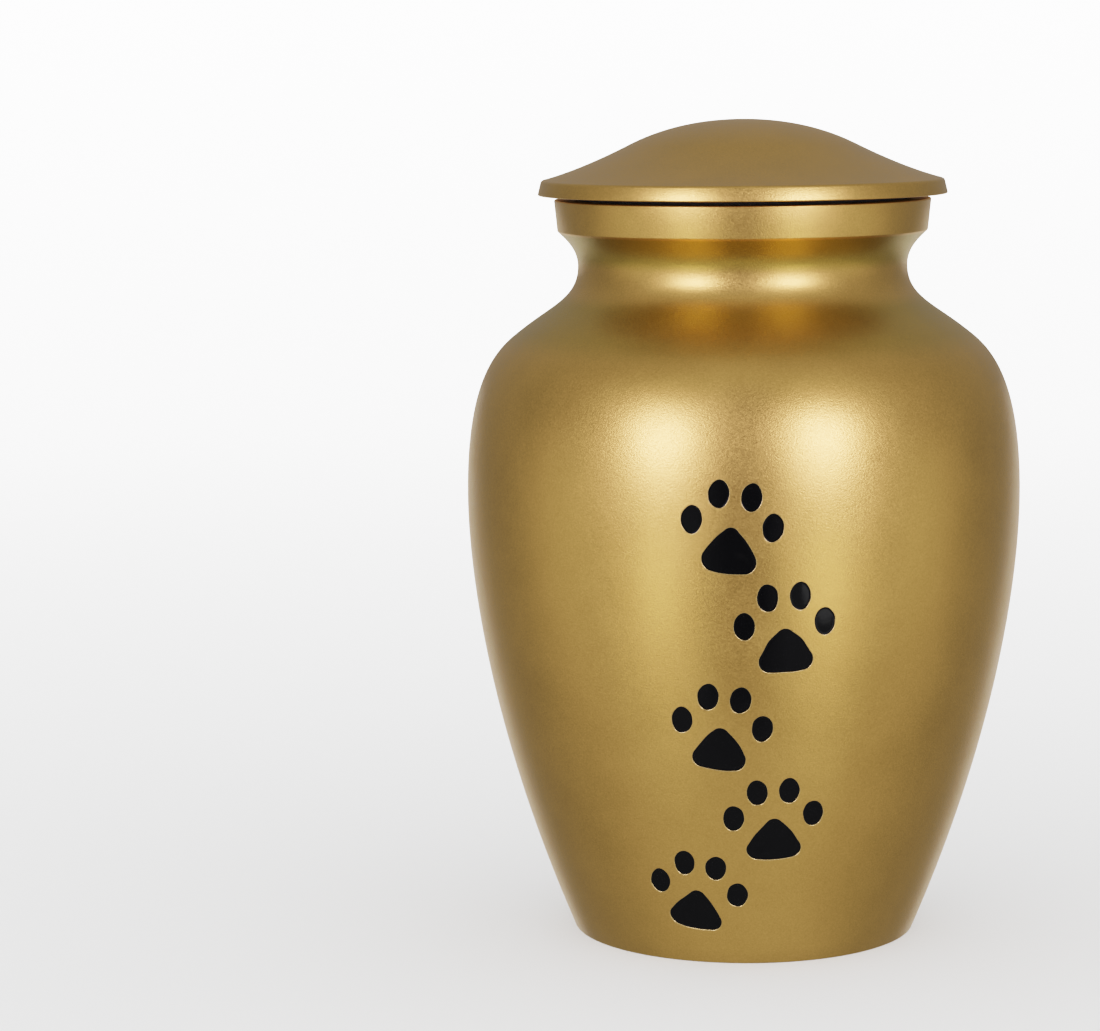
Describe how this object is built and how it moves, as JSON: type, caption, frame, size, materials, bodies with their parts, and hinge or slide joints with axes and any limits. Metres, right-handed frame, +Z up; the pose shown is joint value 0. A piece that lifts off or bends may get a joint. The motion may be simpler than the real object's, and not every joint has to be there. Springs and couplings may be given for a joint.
{
  "type": "cremation urn",
  "caption": "Hollow turned metal urn with a round shoulder, waisted neck and collar, a lift-off domed lid with a plug, and a trail of enamelled paw prints up its front.",
  "frame": {"origin": "centre of the underside, on the surface that the urn stands on", "axes": "+Z up along the turning axis, -Y the front with the paw prints, +X to the right as seen from the front"},
  "size_m": [0.1724, 0.1724, 0.254],
  "materials": {
    "satin_gold": "satin gold, finely brushed round the turning axis",
    "black_enamel": "glossy black enamel that fills the engraved paw prints",
    "seal_rubber": "matt black ring"
  },
  "bodies": {
    "root": {"urn_body": "satin_gold", "lid": "satin_gold", "lid_seal": "seal_rubber", "paw_1_pad": "black_enamel", "paw_1_toe_1": "black_enamel", "paw_1_toe_2": "black_enamel", "paw_1_toe_3": "black_enamel", "paw_1_toe_4": "black_enamel", "paw_2_pad": "black_enamel", "paw_2_toe_1": "black_enamel", "paw_2_toe_2": "black_enamel", "paw_2_toe_3": "black_enamel", "paw_2_toe_4": "black_enamel", "paw_3_pad": "black_enamel", "paw_3_toe_1": "black_enamel", "paw_3_toe_2": "black_enamel", "paw_3_toe_3": "black_enamel", "paw_3_toe_4": "black_enamel", "paw_4_pad": "black_enamel", "paw_4_toe_1": "black_enamel", "paw_4_toe_2": "black_enamel", "paw_4_toe_3": "black_enamel", "paw_4_toe_4": "black_enamel", "paw_5_pad": "black_enamel", "paw_5_toe_1": "black_enamel", "paw_5_toe_2": "black_enamel", "paw_5_toe_3": "black_enamel", "paw_5_toe_4": "black_enamel"}
  },
  "joints": []
}
